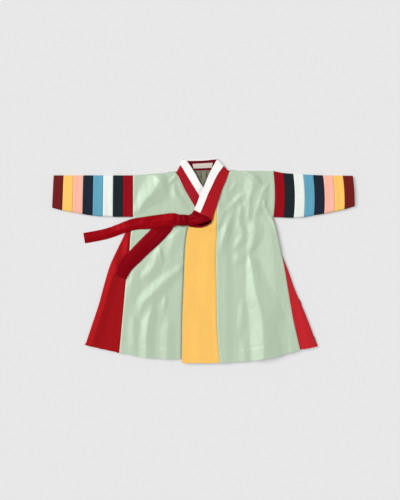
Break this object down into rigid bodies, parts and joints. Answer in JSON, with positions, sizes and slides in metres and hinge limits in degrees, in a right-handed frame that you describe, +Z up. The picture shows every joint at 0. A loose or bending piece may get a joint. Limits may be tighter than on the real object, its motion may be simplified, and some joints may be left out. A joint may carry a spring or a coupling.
{
  "type": "child's hanbok overcoat",
  "caption": "Small child's Korean overcoat laid flat, with striped sleeves, flared side gussets, crossed collar with white strip and a knotted tie.",
  "frame": {"origin": "on the surface it lies on, below the middle of its whole outline", "axes": "+X across the garment to the wearer's left sleeve, +Y from the hem up to the collar, +Z up off the surface"},
  "size_m": [0.77, 0.522, 0.0201],
  "materials": {
    "sage_green": "satin weave, soft sheen",
    "yellow_satin": "satin weave, soft sheen",
    "red_satin": "satin weave, soft sheen",
    "gusset_red": "satin weave, soft sheen",
    "white_strip": "smooth matt cotton",
    "label_cream": "woven ribbon, matt",
    "red": "satin weave, soft sheen",
    "dark_green": "satin weave, soft sheen",
    "white": "satin weave, soft sheen",
    "blue": "satin weave, soft sheen",
    "navy": "satin weave, soft sheen",
    "pink": "satin weave, soft sheen",
    "yellow": "satin weave, soft sheen",
    "maroon": "satin weave, soft sheen"
  },
  "bodies": {
    "root": {"front_right": "sage_green", "front_left": "sage_green", "overlap_right": "sage_green", "back_left": "sage_green", "back_right": "sage_green", "overlap_left": "yellow_satin", "gusset_right_front": "gusset_red", "gusset_left_front": "gusset_red", "gusset_right_back": "gusset_red", "gusset_left_back": "gusset_red", "collar_left": "red_satin", "collar_right": "red_satin", "collar_back": "red_satin", "neck_strip_left": "white_strip", "neck_strip_right": "white_strip", "neck_strip_back": "white_strip", "neck_label": "label_cream", "tie_knot": "red_satin", "tie_root": "red_satin", "tie_long_tail": "red_satin", "tie_short_tail": "red_satin", "sleeve_left_band_1_red": "red", "sleeve_left_band_2_dark_green": "dark_green", "sleeve_left_band_3_white": "white", "sleeve_left_band_4_blue": "blue", "sleeve_left_band_5_navy": "navy", "sleeve_left_band_6_pink": "pink", "sleeve_left_band_7_yellow": "yellow", "sleeve_left_band_8_maroon": "maroon", "sleeve_right_band_1_red": "red", "sleeve_right_band_2_dark_green": "dark_green", "sleeve_right_band_3_white": "white", "sleeve_right_band_4_blue": "blue", "sleeve_right_band_5_navy": "navy", "sleeve_right_band_6_pink": "pink", "sleeve_right_band_7_yellow": "yellow", "sleeve_right_band_8_maroon": "maroon"}
  },
  "joints": []
}
